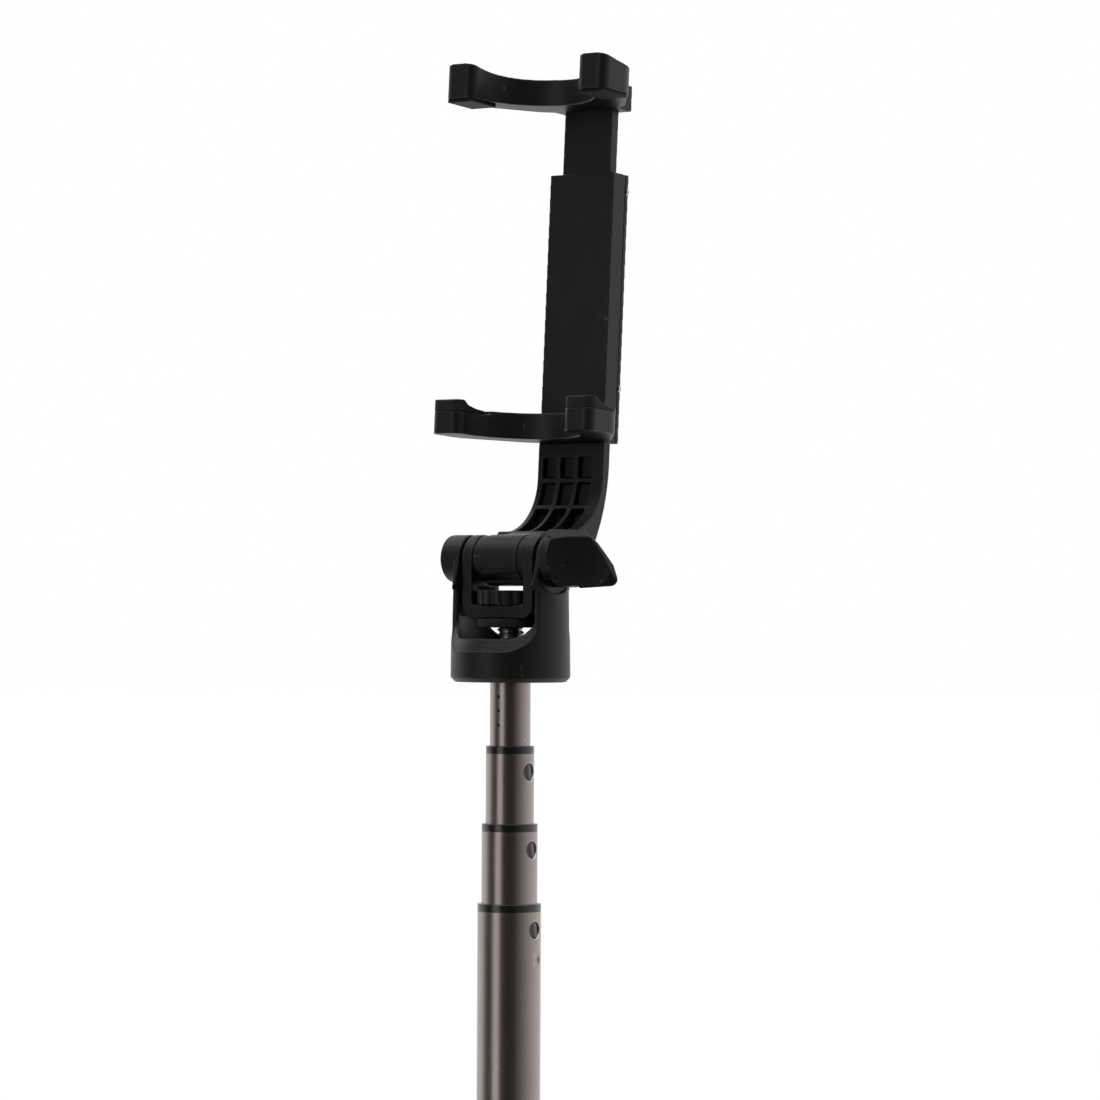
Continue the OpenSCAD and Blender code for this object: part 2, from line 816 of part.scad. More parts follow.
module bottom_plug() {
    color(plastic) union() {
        translate([0, 0, core_bottom - 1.5]) cylinder(r = tube_out(4), h = 1.5);
        translate([0, 0, core_bottom]) cylinder(r = tube_in(4), h = tail_gap - 1);
    }
}

// ---------------------------------------------------------------- handle

module hub_cap() {
    color(plastic) difference() {
        union() {
            rotate_extrude() polygon([
                [0, hub_top - hub_cap_h],
                [hub_r, hub_top - hub_cap_h],
                [hub_r, hub_top - 1],
                [hub_r - 0.9, hub_top - side_gap],
                [0, hub_top - side_gap]
            ]);
            translate([0, 0, hub_top - sleeve_len]) cylinder(r = tube_in(4), h = sleeve_len - 1);
        }
        translate([0, 0, hub_top - far]) cylinder(r = tube_out(3) + run_gap, h = 2 * far);
        ring(tube_out(4), tube_in(4), hub_top - far, hub_top - flange_h);
    }
}

module remote_block(front_skin) {
    intersection() {
        translate([0, 0, dock_top_z - far]) cylinder(r = hub_r - front_skin, h = far * 2);
        children();
    }
}

module hub() {
    color(plastic) difference() {
        ring(hub_r, tube_out(4), hub_bottom, hub_top - hub_cap_h);
        box([-remote_w / 2 - free_gap / 2, remote_w / 2 + free_gap / 2], [-far, dock_y],
            [dock_top_z - remote_len - free_gap, dock_top_z + free_gap]);
        for (a = leg_angles) rotate([0, 0, a]) {
            box([tube_in(4), far], [-slot_w / 2, slot_w / 2], [hub_bottom - over, pivot_z + 3.4]);
            translate([pivot_r, 0, pivot_z]) rod_y(leg_pin_r, -leg_pin_half, leg_pin_half);
        }
    }
}

module leg_pins() {
    color(steel) for (a = leg_angles) rotate([0, 0, a]) translate([pivot_r, 0, pivot_z])
        rod_y(leg_pin_r, -leg_pin_half, leg_pin_half);
}

module at_leg(i) {
    rotate([0, 0, leg_angles[i]]) translate([pivot_r, 0, pivot_z])
        rotate([0, -leg_open, 0]) translate([-pivot_r, 0, -pivot_z]) children();
}

// a third of a ring, centred on +X, with a flat gap left towards each neighbour
module leg_sector(r_in, r_out, z0, z1, gap) {
    difference() {
        ring(r_out, r_in, z0, z1);
        for (side = [-1, 1]) rotate([0, 0, side * 60])
            translate([-far, side < 0 ? -far : -gap, z0 - over]) cube([2 * far, far + gap, z1 - z0 + 2 * over]);
        translate([-far, -far, z0 - over]) cube([far, 2 * far, z1 - z0 + 2 * over]);
    }
}

module leg(i) {
    color(plastic) at_leg(i) difference() {
        union() {
            leg_sector(leg_in_r, hub_r, leg_end_z, leg_top_z, leg_gap);
            intersection() {
                box([0, far], [-slot_w / 2 + free_gap, slot_w / 2 - free_gap], [leg_top_z - 2, pivot_z]);
                ring(pivot_r + tab_r, pivot_r - tab_r, leg_top_z - 3, pivot_z + over);
            }
            translate([pivot_r, 0, pivot_z]) rod_y(tab_r, -slot_w / 2 + free_gap, slot_w / 2 - free_gap);
        }
        translate([pivot_r, 0, pivot_z]) rod_y(leg_pin_r + run_gap, -far, far);
        leg_sector(0.1, hub_r - 1.8, leg_end_z + 4, leg_top_z - 5, leg_gap + 1.8);
    }
}

module foot(i) {
    color(rubber) at_leg(i) difference() {
        leg_sector(leg_in_r, hub_r, leg_end_z - foot_len, leg_end_z, leg_gap);
        translate([leg_in_r + foot_len * 0.55, 0, leg_end_z - foot_len]) rotate([0, leg_open, 0])
            translate([-far, -far, -far]) cube([2 * far, 2 * far, far]);
    }
}

// ---------------------------------------------------------------- shutter remote

module remote_slab(x_inset, y0, y1, z_inset) {
    box([-remote_w / 2 + x_inset, remote_w / 2 - x_inset], [y0, y1],
        [dock_top_z - remote_len + z_inset, dock_top_z - z_inset]);
}

module remote_shell() {
    color(plastic) difference() {
        remote_block(0) remote_slab(0, -far, inside_y, 0);
        remote_block(shell_t) remote_slab(shell_t, -far, 0, shell_t);
        translate([0, 0, button_z]) rod_y(button_r + 0.15, -far, 0);
    }
}

module remote_back() {
    color(plastic) remote_slab(0, inside_y, dock_y - side_gap, 0);
}

module remote_board() {
    half = remote_w / 2 - shell_t - 0.3;
    color([0.1, 0.3, 0.15])
        box([-half, half], [board_y, inside_y], [cell_z + cell_r + 0.5, dock_top_z - shell_t - 0.3]);
}

module coin_cell() {
    color(steel) translate([0, 0, cell_z]) rod_y(cell_r, inside_y - cell_t, inside_y);
}

module remote_dome() {
    color(rubber) translate([0, 0, button_z]) rod_y(3, dome_y, board_y);
}

module remote_button() {
    color(grey) intersection() {
        translate([0, 0, button_z]) rod_y(button_r, -far, dome_y - button_travel - side_gap / 2);
        translate([0, 0, dock_top_z - far]) cylinder(r = hub_r, h = 2 * far);
    }
}

cup();
boss_cap();
hinge_nut();
hinge_pin();
friction_washers();
lever_wing();
yoke();
yoke_pad();
thumbwheel();
camera_screw();
arm();
clamp_base();
housing_cover();
cover_screws();
arm_screws();
lower_pads();
slider();
upper_jaw();
upper_pads();
jaw_screws();
clamp_spring();
top_plug();
swivel_washer();
swivel_screw();
tube(0);  // tube_1
tube(1);  // tube_2
tube(2);  // tube_3
tube(3);  // tube_4
tube_5();
collar(1);  // collar_2
collar(2);  // collar_3
collar(3);  // collar_4
hub_cap();
glide(0);  // glide_1
glide(1);  // glide_2
glide(2);  // glide_3
glide(3);  // glide_4
bottom_plug();
hub();
leg_pins();
leg(0);  // leg_1
leg(1);  // leg_2
leg(2);  // leg_3
foot(0);  // foot_1
foot(1);  // foot_2
foot(2);  // foot_3
remote_shell();
remote_back();
remote_button();
remote_dome();
remote_board();
coin_cell();
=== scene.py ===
"""Looks of the telescopic selfie stick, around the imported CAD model. Named lengths are in millimetres."""
import json
import math

import bmesh
import bpy
from mathutils import Matrix, Vector


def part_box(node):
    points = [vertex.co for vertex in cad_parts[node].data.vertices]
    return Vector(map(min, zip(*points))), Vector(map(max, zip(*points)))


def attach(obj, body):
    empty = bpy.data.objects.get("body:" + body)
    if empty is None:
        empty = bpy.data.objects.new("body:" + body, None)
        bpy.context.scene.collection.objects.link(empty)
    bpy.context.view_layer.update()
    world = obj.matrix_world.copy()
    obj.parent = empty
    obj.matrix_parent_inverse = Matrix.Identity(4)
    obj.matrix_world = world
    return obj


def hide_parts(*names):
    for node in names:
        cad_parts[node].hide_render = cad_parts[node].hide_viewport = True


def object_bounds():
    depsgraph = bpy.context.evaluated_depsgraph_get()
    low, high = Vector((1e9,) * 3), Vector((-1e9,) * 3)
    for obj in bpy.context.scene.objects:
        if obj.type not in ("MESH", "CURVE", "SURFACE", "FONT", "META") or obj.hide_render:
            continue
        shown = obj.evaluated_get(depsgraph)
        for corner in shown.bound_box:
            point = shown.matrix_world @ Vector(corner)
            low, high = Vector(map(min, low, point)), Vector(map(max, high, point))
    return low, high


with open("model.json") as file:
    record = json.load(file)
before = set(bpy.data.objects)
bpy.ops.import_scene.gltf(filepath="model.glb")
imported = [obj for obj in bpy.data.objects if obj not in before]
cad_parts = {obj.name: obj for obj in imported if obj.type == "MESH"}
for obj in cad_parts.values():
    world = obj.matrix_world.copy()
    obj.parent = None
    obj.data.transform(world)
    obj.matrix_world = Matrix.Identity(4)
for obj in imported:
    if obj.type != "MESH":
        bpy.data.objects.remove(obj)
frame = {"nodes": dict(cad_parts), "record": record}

MM = 0.001
CAD_LOW, CAD_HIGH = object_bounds()
RECORD = frame["record"]
BODY_OF = {node: body for body, nodes in RECORD["behaviour"]["bodies"].items() for node in nodes}
SLOT_OF = {part["node"]: part["material_slot"] for part in RECORD["subparts"]}
TUBE_WALL = 0.42
FLANGE_H = 1.85
SLEEVE_LEN = 10
HOLE_R = 2.05
HOLE_DROP = 6
DIMPLE_DROP = 12.7
END_GAP = 0.1
RUN_GAP = 0.05
THREAD_PITCH = 25.4 / 20
THREAD_R = 3.175
SAME_POINT = 1e-4


# ---------------------------------------------------------------- camera, light and floor

def make_camera():
    """A long lens level with the hinge, turned towards the lever's side. Angles are in radians."""
    turn, rise, roll = 0.6144, 0.0025, 0.0049
    distance, aside, height = 1008.4, 8.986, 6.352
    framing_shift = 50 / 1100
    ahead = Vector((-math.sin(turn) * math.cos(rise), math.cos(turn) * math.cos(rise), math.sin(rise)))
    right = Vector((math.cos(turn), math.sin(turn), 0))
    up = right.cross(ahead)
    place = right * aside + Vector((0, 0, height)) - ahead * distance
    camera = bpy.data.objects.new("camera", bpy.data.cameras.new("camera"))
    bpy.context.scene.collection.objects.link(camera)
    camera.data.lens = 143.93
    camera.data.sensor_width = 36
    camera.data.shift_y = framing_shift
    camera.data.clip_start = 0.05
    camera.data.clip_end = 60
    across = right * math.cos(roll) + up * math.sin(roll)
    above = -right * math.sin(roll) + up * math.cos(roll)
    turned = Matrix((across, above, -ahead)).transposed().to_4x4()
    camera.matrix_world = Matrix.Translation(place * MM) @ turned
    bpy.context.scene.camera = camera


def make_world():
    """A pale studio: bright at the sides and behind, dim in front but for one narrow tall softbox."""
    azimuth_light = [
        (-180, 1.0), (-80, 1.0), (-60, 0.3), (-48, 0.1), (-30, 0.12), (-21, 1.0), (-5, 1.0), (4, 0.1),
        (24, 0.05), (54, 0.06), (85, 0.3), (115, 0.65), (150, 0.95), (180, 1.0),
    ]
    world = bpy.data.worlds.new("studio")
    bpy.context.scene.world = world
    world.use_nodes = True
    tree = world.node_tree
    tree.nodes.clear()
    make, link = tree.nodes.new, tree.links.new
    direction = make("ShaderNodeSeparateXYZ")
    link(make("ShaderNodeTexCoord").outputs["Generated"], direction.inputs[0])
    forward = make("ShaderNodeMath")
    forward.operation = "MULTIPLY"
    forward.inputs[1].default_value = -1
    link(direction.outputs["Y"], forward.inputs[0])
    azimuth = make("ShaderNodeMath")
    azimuth.operation = "ARCTAN2"
    link(direction.outputs["X"], azimuth.inputs[0])
    link(forward.outputs[0], azimuth.inputs[1])
    share = make("ShaderNodeMapRange")
    share.inputs["From Min"].default_value = -math.pi
    share.inputs["From Max"].default_value = math.pi
    link(azimuth.outputs[0], share.inputs["Value"])
    ramp = make("ShaderNodeValToRGB")
    fill_ramp(ramp, [((a + 180) / 360, (v, v, v)) for a, v in azimuth_light])
    link(share.outputs[0], ramp.inputs[0])
    overhead = make("ShaderNodeMapRange")
    overhead.inputs["From Min"].default_value = 0.5
    overhead.inputs["From Max"].default_value = 0.85
    link(direction.outputs["Z"], overhead.inputs["Value"])
    mix = make("ShaderNodeMix")
    mix.data_type = "RGBA"
    mix.inputs["B"].default_value = (0.9, 0.9, 0.9, 1)
    link(overhead.outputs[0], mix.inputs["Factor"])
    link(ramp.outputs[0], mix.inputs["A"])
    lit, seen = make("ShaderNodeBackground"), make("ShaderNodeBackground")
    link(mix.outputs["Result"], lit.inputs["Color"])
    seen.inputs["Color"].default_value = (1, 1, 1, 1)
    choice = make("ShaderNodeMixShader")
    link(make("ShaderNodeLightPath").outputs["Is Camera Ray"], choice.inputs[0])
    link(lit.outputs[0], choice.inputs[1])
    link(seen.outputs[0], choice.inputs[2])
    link(choice.outputs[0], make("ShaderNodeOutputWorld").inputs["Surface"])


def make_lights():
    """One broad soft light from overhead."""
    sky = bpy.data.objects.new("overhead_light", bpy.data.lights.new("overhead_light", "SUN"))
    sky.data.energy = 1.3
    sky.data.angle = math.radians(70)
    bpy.context.scene.collection.objects.link(sky)


def make_floor():
    """A wide pale floor under the feet, left out of reflections as the dark studio floor would be."""
    reach = 14
    mesh = bpy.data.meshes.new("floor")
    shape = bmesh.new()
    bmesh.ops.create_circle(shape, cap_ends=True, segments=96, radius=reach)
    shape.to_mesh(mesh)
    shape.free()
    floor = bpy.data.objects.new("floor", mesh)
    bpy.context.scene.collection.objects.link(floor)
    floor.location.z = CAD_LOW.z
    mesh.materials.append(floor_material())
    floor.visible_glossy = False


# ---------------------------------------------------------------- materials

def fill_ramp(node, stops):
    """Sets a colour ramp's stops from (place, (r, g, b)) pairs."""
    ramp = node.color_ramp
    while len(ramp.elements) > 1:
        ramp.elements.remove(ramp.elements[-1])
    ramp.elements[0].position = stops[0][0]
    ramp.elements[0].color = (*stops[0][1], 1)
    for place, colour in stops[1:]:
        ramp.elements.new(place).color = (*colour, 1)


class Finish:
    """A Principled material with short ways to vary its colour, roughness and relief over the surface."""

    def __init__(self, name, metallic=0.0, specular=0.5):
        self.material = bpy.data.materials.new(name)
        self.material.use_nodes = True
        self.tree = self.material.node_tree
        self.shader = self.tree.nodes["Principled BSDF"]
        self.shader.inputs["Metallic"].default_value = metallic
        self.shader.inputs["Specular IOR Level"].default_value = specular
        self.place = self.make("ShaderNodeTexCoord").outputs["Object"]
        self.relief = None

    def make(self, kind):
        return self.tree.nodes.new(kind)

    def link(self, output, socket):
        self.tree.links.new(output, socket)

    def noise(self, size_mm, detail=2.0, stretch=(1, 1, 1)):
        """A noise whose features are about size_mm across; stretch draws them out along X, Y and Z."""
        scale = self.make("ShaderNodeMapping")
        scale.inputs["Scale"].default_value = [1 / (size_mm * MM * s) for s in stretch]
        self.link(self.place, scale.inputs["Vector"])
        texture = self.make("ShaderNodeTexNoise")
        texture.inputs["Scale"].default_value = 1
        texture.inputs["Detail"].default_value = detail
        self.link(scale.outputs[0], texture.inputs["Vector"])
        return texture.outputs["Fac"]

    def spread(self, value, low, high, start=0.3, end=0.7):
        """Maps a noise from start..end to low..high."""
        node = self.make("ShaderNodeMapRange")
        for name, number in (("From Min", start), ("From Max", end), ("To Min", low), ("To Max", high)):
            node.inputs[name].default_value = number
        self.link(value, node.inputs["Value"])
        return node.outputs[0]

    def blend(self, factor, first, second):
        """A colour between two, each an output or an (r, g, b)."""
        node = self.make("ShaderNodeMix")
        node.data_type = "RGBA"
        self.link(factor, node.inputs["Factor"])
        for name, colour in (("A", first), ("B", second)):
            if isinstance(colour, tuple):
                node.inputs[name].default_value = (*colour, 1)
            else:
                self.link(colour, node.inputs[name])
        return node.outputs["Result"]

    def edges(self, start, end):
        """0 on flat stretches, rising to 1 on outward edges."""
        return self.spread(self.make("ShaderNodeNewGeometry").outputs["Pointiness"], 0, 1, start, end)

    def add(self, value, other, factor=1.0):
        node = self.make("ShaderNodeMath")
        node.operation = "MULTIPLY_ADD"
        node.inputs[1].default_value = factor
        self.link(value, node.inputs[0])
        self.link(other, node.inputs[2])
        return node.outputs[0]

    def colour(self, output):
        self.link(output, self.shader.inputs["Base Color"])

    def roughness(self, output):
        self.link(output, self.shader.inputs["Roughness"])

    def emboss(self, height, depth_mm):
        """Adds a relief that is depth_mm deep."""
        node = self.make("ShaderNodeBump")
        node.inputs["Strength"].default_value = 1
        node.inputs["Distance"].default_value = depth_mm * MM
        self.link(height, node.inputs["Height"])
        if self.relief:
            self.link(self.relief, node.inputs["Normal"])
        self.relief = node.outputs[0]
        self.link(self.relief, self.shader.inputs["Normal"])


def moulded_plastic(name, dark, pale, edge_wear_and_highlight_colour, rough_low, rough_high, specular=0.5):
    """Satin moulded plastic: faint cloudiness, a fine spark-eroded grain, and outward edges made smoother and
    painted lighter, partly as wear and partly as a painted highlight where the rounded edges catch the light.
    """
    finish = Finish(name, specular=specular)
    cloud = finish.spread(finish.noise(9, 3), 0, 1)
    edge = finish.edges(0.52, 0.62)
    edge_patches = finish.spread(finish.noise(1.6, 3), 0, 1, 0.42, 0.62)
    edge_wear_and_highlight = finish.make("ShaderNodeMath")
    edge_wear_and_highlight.operation = "MULTIPLY"
    finish.link(edge, edge_wear_and_highlight.inputs[0])
    finish.link(edge_patches, edge_wear_and_highlight.inputs[1])
    # Outward edges are painted lighter in patches: partly wear, partly a painted highlight along the rounded
    # edges.
    finish.colour(finish.blend(edge_wear_and_highlight.outputs[0], finish.blend(cloud, dark, pale), edge_wear_and_highlight_colour))
    grain = finish.noise(0.32, 3)
    rough = finish.spread(grain, rough_low, rough_high)
    finish.roughness(finish.add(edge_wear_and_highlight.outputs[0], rough, -0.08))
    finish.emboss(grain, 0.012)
    finish.emboss(finish.noise(4, 1), 0.02)
    return finish.material


def rubber():
    """Dull soft rubber with a fine matt grain and a trace of dust."""
    finish = Finish("rubber_pad", specular=0.3)
    dust = finish.spread(finish.noise(2.4, 4), 0, 1, 0.5, 0.75)
    finish.colour(finish.blend(dust, (0.0045, 0.0045, 0.0048), (0.009, 0.009, 0.0095)))
    grain = finish.noise(0.22, 3)
    finish.roughness(finish.spread(grain, 0.55, 0.75))
    finish.emboss(grain, 0.02)
    return finish.material


def anodised_tube():
    """Satin bronze anodising over a tube that was drawn along its length."""
    finish = Finish("bronze_tube", metallic=1.0)
    cloud = finish.spread(finish.noise(6, 3, (1, 1, 4)), 0, 1)
    mark = finish.spread(finish.noise(1.1, 4), 0, 1, 0.66, 0.74)
    body = finish.blend(cloud, (0.335, 0.283, 0.262), (0.365, 0.308, 0.288))
    finish.colour(finish.blend(mark, body, (0.46, 0.41, 0.385)))
    drawn = finish.noise(0.16, 3, (1, 1, 60))
    finish.roughness(finish.spread(drawn, 0.2, 0.28))
    finish.emboss(drawn, 0.0012)
    return finish.material


def turned_steel():
    """Bright steel with fine turning lines."""
    finish = Finish("steel", metallic=1.0)
    cloud = finish.spread(finish.noise(1.5, 3), 0, 1)
    finish.colour(finish.blend(cloud, (0.42, 0.42, 0.43), (0.55, 0.55, 0.56)))
    lines = finish.noise(0.12, 2, (8, 8, 1))
    finish.roughness(finish.spread(lines, 0.22, 0.38))
    finish.emboss(lines, 0.002)
    return finish.material


def circuit_board():
    """Green board with a faint grid of tracks."""
    finish = Finish("circuit_board")
    tracks = finish.make("ShaderNodeTexBrick")
    scale = finish.make("ShaderNodeMapping")
    scale.inputs["Rotation"].default_value = (math.pi / 2, 0, 0)
    scale.inputs["Scale"].default_value = [900] * 3
    finish.link(finish.place, scale.inputs["Vector"])
    finish.link(scale.outputs[0], tracks.inputs["Vector"])
    tracks.inputs["Scale"].default_value = 1
    tracks.inputs["Mortar Size"].default_value = 0.08
    cloud = finish.spread(finish.noise(2, 2), 0, 1)
    board = finish.blend(cloud, (0.02, 0.12, 0.05), (0.03, 0.16, 0.07))
    finish.colour(finish.blend(tracks.outputs["Fac"], board, (0.08, 0.26, 0.1)))
    finish.roughness(finish.spread(finish.noise(0.4), 0.2, 0.35))
    finish.emboss(tracks.outputs["Fac"], 0.02)
    return finish.material


def cell_metal():
    """Brushed nickel of a coin cell."""
    finish = Finish("battery", metallic=1.0)
    cloud = finish.spread(finish.noise(3, 2), 0, 1)
    finish.colour(finish.blend(cloud, (0.55, 0.55, 0.54), (0.66, 0.66, 0.65)))
    brushed = finish.noise(0.1, 2, (20, 1, 1))
    finish.roughness(finish.spread(brushed, 0.18, 0.3))
    finish.emboss(brushed, 0.001)
    return finish.material


def floor_material():
    """Matt near-white paint with a trace of cloudiness."""
    finish = Finish("floor", specular=0.1)
    cloud = finish.spread(finish.noise(300, 3), 0, 1)
    finish.colour(finish.blend(cloud, (0.86, 0.86, 0.86), (0.89, 0.89, 0.89)))
    finish.roughness(finish.spread(finish.noise(40, 3), 0.7, 0.85))
    return finish.material


MATERIALS = {
    # Each plastic's third colour is its lighter edge colour: partly wear, partly a painted highlight.
    "black_plastic": moulded_plastic(
        "black_plastic", (0.0024, 0.0026, 0.0029), (0.0038, 0.004, 0.0043), (0.045, 0.045, 0.047),
        0.38, 0.48, 0.34),
    "black_gloss": moulded_plastic(
        "black_gloss", (0.002, 0.0022, 0.0024), (0.003, 0.0032, 0.0034), (0.02, 0.02, 0.021),
        0.14, 0.22, 0.85),
    "grey_plastic": moulded_plastic(
        "grey_plastic", (0.05, 0.048, 0.044), (0.07, 0.067, 0.062), (0.14, 0.14, 0.14), 0.32, 0.45),
    "rubber_pad": rubber(),
    "bronze_tube": anodised_tube(),
    "steel": turned_steel(),
    "circuit_board": circuit_board(),
    "battery": cell_metal(),
}


# ---------------------------------------------------------------- making pieces

def dress(piece, node, slot=None, finish=None, hides=True):
    """Gives a new piece the material of its slot or of the finish named, and its body, and hides the CAD node
    that it stands for.
    """
    slot = slot or SLOT_OF[node]
    piece.data.materials.clear()
    piece.data.materials.append(MATERIALS[finish or slot])
    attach(piece, BODY_OF[node])
    if hides:
        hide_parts(node)
    return piece


def object_from(name, mesh):
    """A new object in the scene that shows the mesh."""
    piece = bpy.data.objects.new(name, mesh)
    bpy.context.scene.collection.objects.link(piece)
    return piece


def weld(mesh, reach):
    """Joins the points of a mesh that lie within reach of each other."""
    shape = bmesh.new()
    shape.from_mesh(mesh)
    bmesh.ops.remove_doubles(shape, verts=shape.verts, dist=reach)
    shape.to_mesh(mesh)
    shape.free()


def applied(piece):
    """The piece's mesh with its modifiers worked in."""
    graph = bpy.context.evaluated_depsgraph_get()
    mesh = bpy.data.meshes.new_from_object(piece.evaluated_get(graph))
    piece.modifiers.clear()
    return mesh


def soften(node, voxel, passes, keep):
    """The CAD node with moulded, rounded edges: skinned evenly, smoothed and thinned out again."""
    mesh = frame["nodes"][node].data.copy()
    mesh.transform(Matrix.Scale(1 / MM, 4))
    weld(mesh, SAME_POINT)
    piece = object_from(node + "_moulded", mesh)
    skin = piece.modifiers.new("skin", "REMESH")
    skin.mode = "VOXEL"
    skin.voxel_size = voxel * 1
    smooth = piece.modifiers.new("smooth", "SMOOTH")
    smooth.factor = 0.5
    smooth.iterations = max(1, passes // (1))
    thin = piece.modifiers.new("thin", "DECIMATE")
    thin.ratio = keep
    piece.data = applied(piece)
    piece.data.transform(Matrix.Scale(MM, 4))
    piece.data.polygons.foreach_set("use_smooth", [True] * len(piece.data.polygons))
    return piece


# node: voxel size, smoothing passes and the share of faces kept
SOFT_NODES = {
    "cup": (0.16, 18, 0.3),
    "boss_cap": (0.1, 6, 0.3),
    "friction_washers": (0.1, 4, 0.3),
    "lever_wing": (0.12, 10, 0.3),
    "yoke": (0.13, 26, 0.3),
    "yoke_pad": (0.12, 8, 0.3),
    "thumbwheel": (0.1, 5, 0.35),
    "arm": (0.16, 10, 0.3),
    "clamp_base": (0.2, 8, 0.25),
    "housing_cover": (0.2, 6, 0.25),
    "lower_pads": (0.12, 8, 0.3),
    "slider": (0.2, 6, 0.25),
    "upper_jaw": (0.18, 10, 0.3),
    "upper_pads": (0.12, 3, 0.3),
    "hub_cap": (0.2, 6, 0.25),
    "hub": (0.3, 5, 0.25),
    "leg_1": (0.25, 6, 0.25),
    "leg_2": (0.25, 6, 0.25),
    "leg_3": (0.25, 6, 0.25),
    "foot_1": (0.2, 12, 0.3),
    "foot_2": (0.2, 12, 0.3),
    "foot_3": (0.2, 12, 0.3),
    "remote_shell": (0.18, 4, 0.3),
    "remote_button": (0.12, 8, 0.3),
}


def make_moulded_parts():
    for node, (voxel, passes, keep) in SOFT_NODES.items():
        dress(soften(node, voxel, passes, keep), node)


def finish_plain_nodes():
    """The CAD nodes that stay as they are get their slot's material."""
    for node, piece in frame["nodes"].items():
        piece.data.materials.clear()
        piece.data.materials.append(MATERIALS[SLOT_OF[node]])


def grid_mesh(name, rows, closed_rows=False, closed_columns=True):
    """A skin over rows of points, all the same length; rows or columns may close on themselves."""
    columns = len(rows[0])
    points = [point for row in rows for point in row]
    faces = []
    for i in range(len(rows) if closed_rows else len(rows) - 1):
        below = i * columns
        above = (i + 1) % len(rows) * columns
        for j in range(columns if closed_columns else columns - 1):
            k = (j + 1) % columns
            faces.append((below + j, below + k, above + k, above + j))
    mesh = bpy.data.meshes.new(name)
    mesh.from_pydata([[c * MM for c in point] for point in points], [], faces)
    weld(mesh, SAME_POINT * MM)
    mesh.polygons.foreach_set("use_smooth", [True] * len(mesh.polygons))
    return mesh


def turned(name, profile, segments=128):
    """A ring turned round the stick's axis from a closed profile of (radius, z), in millimetres."""
    rows = [
        [(r * math.cos(t), r * math.sin(t), z) for t in (2 * math.pi * j / segments for j in range(segments))]
        for r, z in profile
    ]
    return object_from(name, grid_mesh(name, rows, closed_rows=True))


def rounded(corners, radius, steps=3):
    """A closed profile with each corner rounded by radius."""
    points = []
    for i, corner in enumerate(corners):
        here, before, after = Vector(corner), Vector(corners[i - 1]), Vector(corners[(i + 1) % len(corners)])
        start = here + (before - here).normalized() * radius
        end = here + (after - here).normalized() * radius
        for k in range(steps + 1):
            t = k / steps
            points.append(tuple((1 - t) ** 2 * start + 2 * t * (1 - t) * here + t ** 2 * end))
    return points


def tube_radius(i):
    """The outer radius of tube i, in millimetres."""
    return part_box("tube_%d" % i)[1].y / MM


# ---------------------------------------------------------------- collars and locking lugs

def make_collar(i):
    """The black flange and sleeve on tube i, and in the tube's hole a grey lug and a bare metal rim."""
    node = "collar_%d" % i
    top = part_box(node)[1].z / MM
    outer = tube_radius(i)
    bore = tube_radius(i - 1) + RUN_GAP
    sleeve = outer - TUBE_WALL
    shoulder = top + END_GAP - FLANGE_H
    edge_r = 0.16
    profile = [
        (bore, top), (outer, top), (outer, shoulder), (sleeve, shoulder),
        (sleeve, top - SLEEVE_LEN), (bore, top - SLEEVE_LEN),
    ]
    dress(turned(node + "_ring", rounded(profile, edge_r)), node, finish="black_gloss")
    middle = top + END_GAP - HOLE_DROP
    lug = object_from(node + "_lug", lug_mesh(node + "_lug", outer, sleeve, middle))
    dress(lug, node, slot="grey_plastic", hides=False)
    section = ((-0.08, -0.35), (-0.02, -0.01), (0.06, 0.02), (0.12, 0.01), (0.16, -0.04))
    rings = wrapped_rings([(HOLE_R + wider, proud) for wider, proud in section], outer, 0, middle)
    dress(object_from(node + "_hole_rim", grid_mesh("rim", rings)), node, slot="steel", hides=False)


def wrapped_rings(profile, outer, bearing, middle, around=48):
    """Rings of (radius, height above the surface) wrapped on a tube, round a bearing and a height."""
    rows = []
    for reach, proud in profile:
        row = []
        for t in (2 * math.pi * j / around for j in range(around)):
            aside, radius = reach * math.cos(t), outer + proud
            turn = bearing + math.asin(aside / radius)
            row.append((radius * math.cos(turn), radius * math.sin(turn), middle + reach * math.sin(t)))
        rows.append(row)
    return rows


def lug_mesh(name, outer, inner, middle):
    """A round button on the tube's +X side with a ridge across it, falling away to both sides."""
    rim, around, rings = HOLE_R - 0.22, 48, 12
    sunk, slope, skew, edge_drop, skirt = 0.12, 0.3, 0.25, 0.25, 0.1
    slit_at, slit_w, slit_depth = -0.95, 0.28, 0.3
    rows = []
    for k in range(rings + 2):
        share = min(k, rings) / rings
        row = []
        for j in range(around):
            t = 2 * math.pi * j / around
            y, z = rim * share * math.cos(t), rim * share * math.sin(t)
            aside = y + skew * z
            slit = slit_depth * max(0, 1 - abs(aside - slit_at) / slit_w)
            fall = sunk + slope * abs(aside) / HOLE_R + edge_drop * max(0, share - 0.85) + slit
            radius = outer - fall if k <= rings else inner - skirt
            row.append((math.sqrt(radius ** 2 - y ** 2), y, middle + z))
        rows.append(row)
    return grid_mesh(name, rows)


# ---------------------------------------------------------------- marks on the tubes

def make_tube_marks():
    """Three small punched dots down the front of the thinnest tube."""
    first_z, spacing = -15.8, 3.25
    profile = [(0, 0.02), (0.26, 0.025), (0.36, 0.035), (0.41, 0.02), (0.43, -0.04)]
    for k in range(3):
        rows = wrapped_rings(profile, tube_radius(1), -math.pi / 2, first_z - spacing * k, around=24)
        dot = object_from("tube_1_dot_%d" % (k + 1), grid_mesh("dot", rows))
        dress(dot, "tube_1", slot="black_plastic", hides=False)


